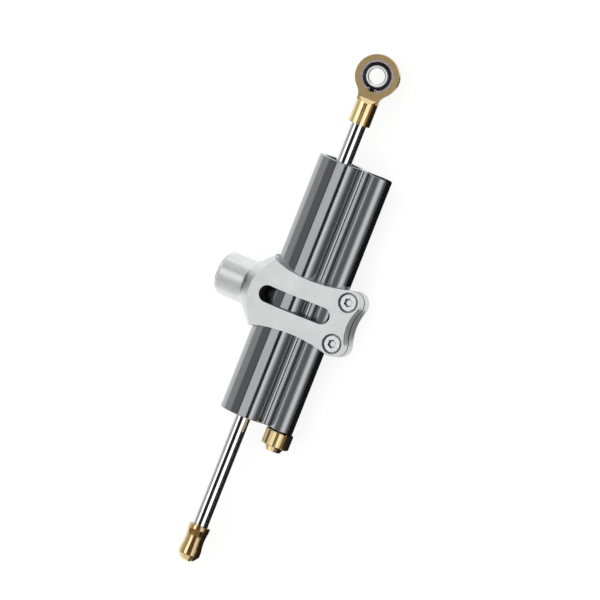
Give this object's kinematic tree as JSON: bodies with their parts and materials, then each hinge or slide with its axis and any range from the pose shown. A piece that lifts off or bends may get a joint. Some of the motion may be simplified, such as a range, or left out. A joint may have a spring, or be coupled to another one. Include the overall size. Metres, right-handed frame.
{
  "type": "motorcycle steering damper",
  "caption": "Slim hydraulic steering damper: twin-barrel body, through rod with spherical rod end, click adjuster knob and split clamp with a threaded mounting boss.",
  "frame": {"origin": "centre of the ball in the rod end", "axes": "+X along the rod towards the rod end, +Y towards the mounting boss, +Z out of the clamp's face"},
  "size_m": [0.265, 0.0742, 0.032],
  "materials": {
    "body_gunmetal": "satin gunmetal anodised",
    "clamp_silver": "fine satin, clear anodised",
    "gold_anodised": "polished, pale gold anodised",
    "chrome_rod": "hard chromed and polished",
    "bearing_steel": "ground and polished",
    "spring_steel": "blackened",
    "bolt_zinc": "zinc plated",
    "inner_alloy": "turned",
    "bronze": "turned bronze",
    "rubber_black": "moulded nitrile rubber",
    "ring_plastic": "filled fluoropolymer"
  },
  "bodies": {
    "barrel": {"damper_body": "body_gunmetal", "upper_gland": "inner_alloy", "lower_gland": "inner_alloy", "upper_rod_bush": "bronze", "lower_rod_bush": "bronze", "upper_rod_seal": "rubber_black", "lower_rod_seal": "rubber_black", "gland_o_rings": "rubber_black", "gland_circlips": "spring_steel", "bypass_plug": "inner_alloy", "plug_o_ring": "rubber_black", "adjuster_bush": "bronze", "bush_o_ring": "rubber_black", "detent_ball": "bearing_steel", "detent_spring": "bearing_steel"},
    "piston_seal": {"piston_ring": "ring_plastic"},
    "rod": {"piston_rod": "chrome_rod", "piston": "inner_alloy", "piston_circlips": "spring_steel", "rod_end": "gold_anodised", "bearing_race": "bearing_steel", "bearing_circlip": "spring_steel", "end_nut": "gold_anodised"},
    "ball": {"bearing_ball": "bearing_steel"},
    "knob": {"adjuster_knob": "gold_anodised", "knob_grub_screw": "spring_steel", "adjuster_spindle": "bearing_steel", "spindle_o_ring": "rubber_black"},
    "needle": {"adjuster_needle": "bronze"},
    "clamp": {"mounting_clamp": "clamp_silver", "clamp_bolts": "bolt_zinc"}
  },
  "joints": [
    {"name": "rod_slide", "type": "slide", "parent": "barrel", "child": "piston_seal", "axis": [1, 0, 0], "range_m": [-0.019, 0.0574]},
    {"name": "rod_turn", "type": "hinge", "parent": "piston_seal", "child": "rod", "pos_m": [0, 0, 0], "axis": [1, 0, 0], "continuous": true},
    {"name": "ball_tilt", "type": "hinge", "parent": "rod", "child": "ball", "pos_m": [0, 0, 0], "axis": [0, 0.9703, 0.2419], "range_deg": [-13, 13]},
    {"name": "knob_turn", "type": "hinge", "parent": "barrel", "child": "knob", "pos_m": [-0.1772, -0.0206, 0], "axis": [1, 0, 0], "range_deg": [-255, 255]},
    {"name": "needle_feed", "type": "slide", "parent": "knob", "child": "needle", "axis": [1, 0, 0], "range_m": [-0.0005, 0.0005]},
    {"name": "clamp_slide", "type": "slide", "parent": "barrel", "child": "clamp", "axis": [1, 0, 0], "range_m": [-0.04, 0.05]}
  ],
  "couplings": [
    {"joint": "needle_feed", "follows": "knob_turn", "m_per_rad": 0.00011141}
  ]
}
